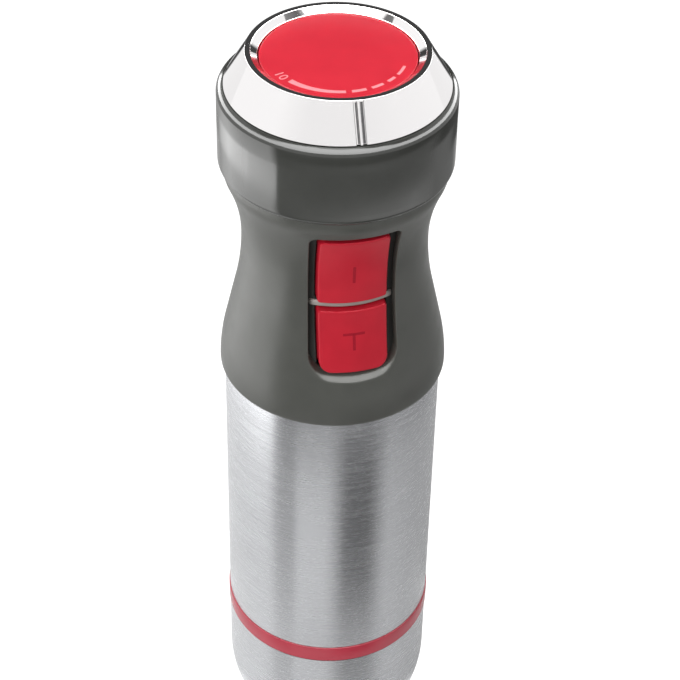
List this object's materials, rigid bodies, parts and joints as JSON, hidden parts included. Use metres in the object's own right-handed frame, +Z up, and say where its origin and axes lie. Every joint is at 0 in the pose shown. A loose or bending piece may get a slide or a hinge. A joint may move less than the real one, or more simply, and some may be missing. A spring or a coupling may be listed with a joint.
{
  "type": "immersion blender",
  "caption": "Hand immersion blender with a waisted grip, rocker-like press buttons, a speed ring on top, a motor, and a screw-off steel leg with a guarded blade.",
  "frame": {"origin": "centre of the blade guard's rim, which the blender stands on", "axes": "+Z up the axis to the speed dial, the buttons face -Y"},
  "size_m": [0.0678, 0.0678, 0.4118],
  "materials": {
    "soft_grey": "soft-touch grey moulding",
    "gloss_grey": "polished grey moulding",
    "dial_chrome": "bright chrome plating on plastic",
    "signal_red": "glossy red",
    "button_red": "satin red",
    "brushed_steel": "fine brushing round the axis",
    "polished_steel": "polished stainless steel",
    "spring_steel": "bright wire",
    "black_plastic": "black moulding",
    "board_green": "circuit board laminate",
    "copper": "enamelled copper wire",
    "brass": "bare brass",
    "bronze": "sintered bronze",
    "carbon": "pressed carbon",
    "lamination": "stacked electrical steel",
    "shaft_steel": "ground steel",
    "seal_rubber": "black rubber",
    "white_plastic": "white moulding"
  },
  "bodies": {
    "motor_unit": {"grip_shell": "soft_grey", "button_frame": "soft_grey", "power_spring": "spring_steel", "turbo_spring": "spring_steel", "power_switch": "black_plastic", "turbo_switch": "black_plastic", "circuit_board": "board_green", "head_collar": "gloss_grey", "potentiometer_body": "black_plastic", "dial_deck": "black_plastic", "disc_carrier": "black_plastic", "scale_disc": "signal_red", "cord_inlet": "black_plastic", "deck_screws": "shaft_steel", "motor_sleeve": "brushed_steel", "leg_socket": "black_plastic", "lower_bracket": "black_plastic", "motor_cradle": "white_plastic", "stator_core": "lamination", "field_coils": "copper", "lower_bearing": "shaft_steel", "upper_bearing": "shaft_steel", "upper_bracket": "black_plastic", "brush_holders": "brass", "carbon_brushes": "carbon"},
    "dial": {"speed_dial": "dial_chrome"},
    "pinion": {"potentiometer_pinion": "white_plastic"},
    "power_key": {"power_button": "button_red"},
    "turbo_key": {"turbo_button": "button_red"},
    "rotor": {"rotor_core": "lamination", "rotor_windings": "copper", "commutator": "copper", "motor_shaft": "shaft_steel", "cooling_fan": "black_plastic", "upper_coupling": "black_plastic"},
    "ring": {"joint_ring": "signal_red"},
    "leg": {"leg_neck": "black_plastic", "leg_shell": "brushed_steel", "blade_guard": "brushed_steel", "bush_housing": "black_plastic", "lower_bush": "bronze", "upper_bush": "bronze", "lip_seal": "seal_rubber"},
    "spindle": {"drive_spindle": "shaft_steel", "lower_coupling": "white_plastic", "blade": "polished_steel", "blade_screw": "polished_steel"}
  },
  "joints": [
    {"name": "dial_turn", "type": "hinge", "parent": "motor_unit", "child": "dial", "pos_m": [0, 0, 0.405], "axis": [0, 0, 1], "range_deg": [-60, 60]},
    {"name": "pinion_turn", "type": "hinge", "parent": "motor_unit", "child": "pinion", "pos_m": [0, 0.0125, 0.395], "axis": [0, 0, 1], "range_deg": [-136, 136]},
    {"name": "power_press", "type": "slide", "parent": "motor_unit", "child": "power_key", "axis": [0, 1, 0], "range_m": [0, 0.0018], "stiffness_N_per_m": 1200, "deforming": ["power_spring"]},
    {"name": "turbo_press", "type": "slide", "parent": "motor_unit", "child": "turbo_key", "axis": [0, 1, 0], "range_m": [0, 0.0018], "stiffness_N_per_m": 1200, "deforming": ["turbo_spring"]},
    {"name": "rotor_spin", "type": "hinge", "parent": "motor_unit", "child": "rotor", "pos_m": [0, 0, 0.27], "axis": [0, 0, 1], "continuous": true},
    {"name": "leg_drop", "type": "slide", "parent": "motor_unit", "child": "ring", "axis": [0, 0, -1], "range_m": [0, 0.0201]},
    {"name": "leg_turn", "type": "hinge", "parent": "ring", "child": "leg", "pos_m": [0, 0, 0.2], "axis": [0, 0, 1], "range_deg": [0, 180]},
    {"name": "blade_spin", "type": "hinge", "parent": "ring", "child": "spindle", "pos_m": [0, 0, 0.1], "axis": [0, 0, 1], "continuous": true}
  ],
  "couplings": [
    {"joint": "pinion_turn", "follows": "dial_turn", "ratio": 2.25},
    {"joint": "leg_drop", "follows": "leg_turn", "m_per_rad": 0.0063662},
    {"joint": "blade_spin", "follows": "rotor_spin", "ratio": 1}
  ]
}
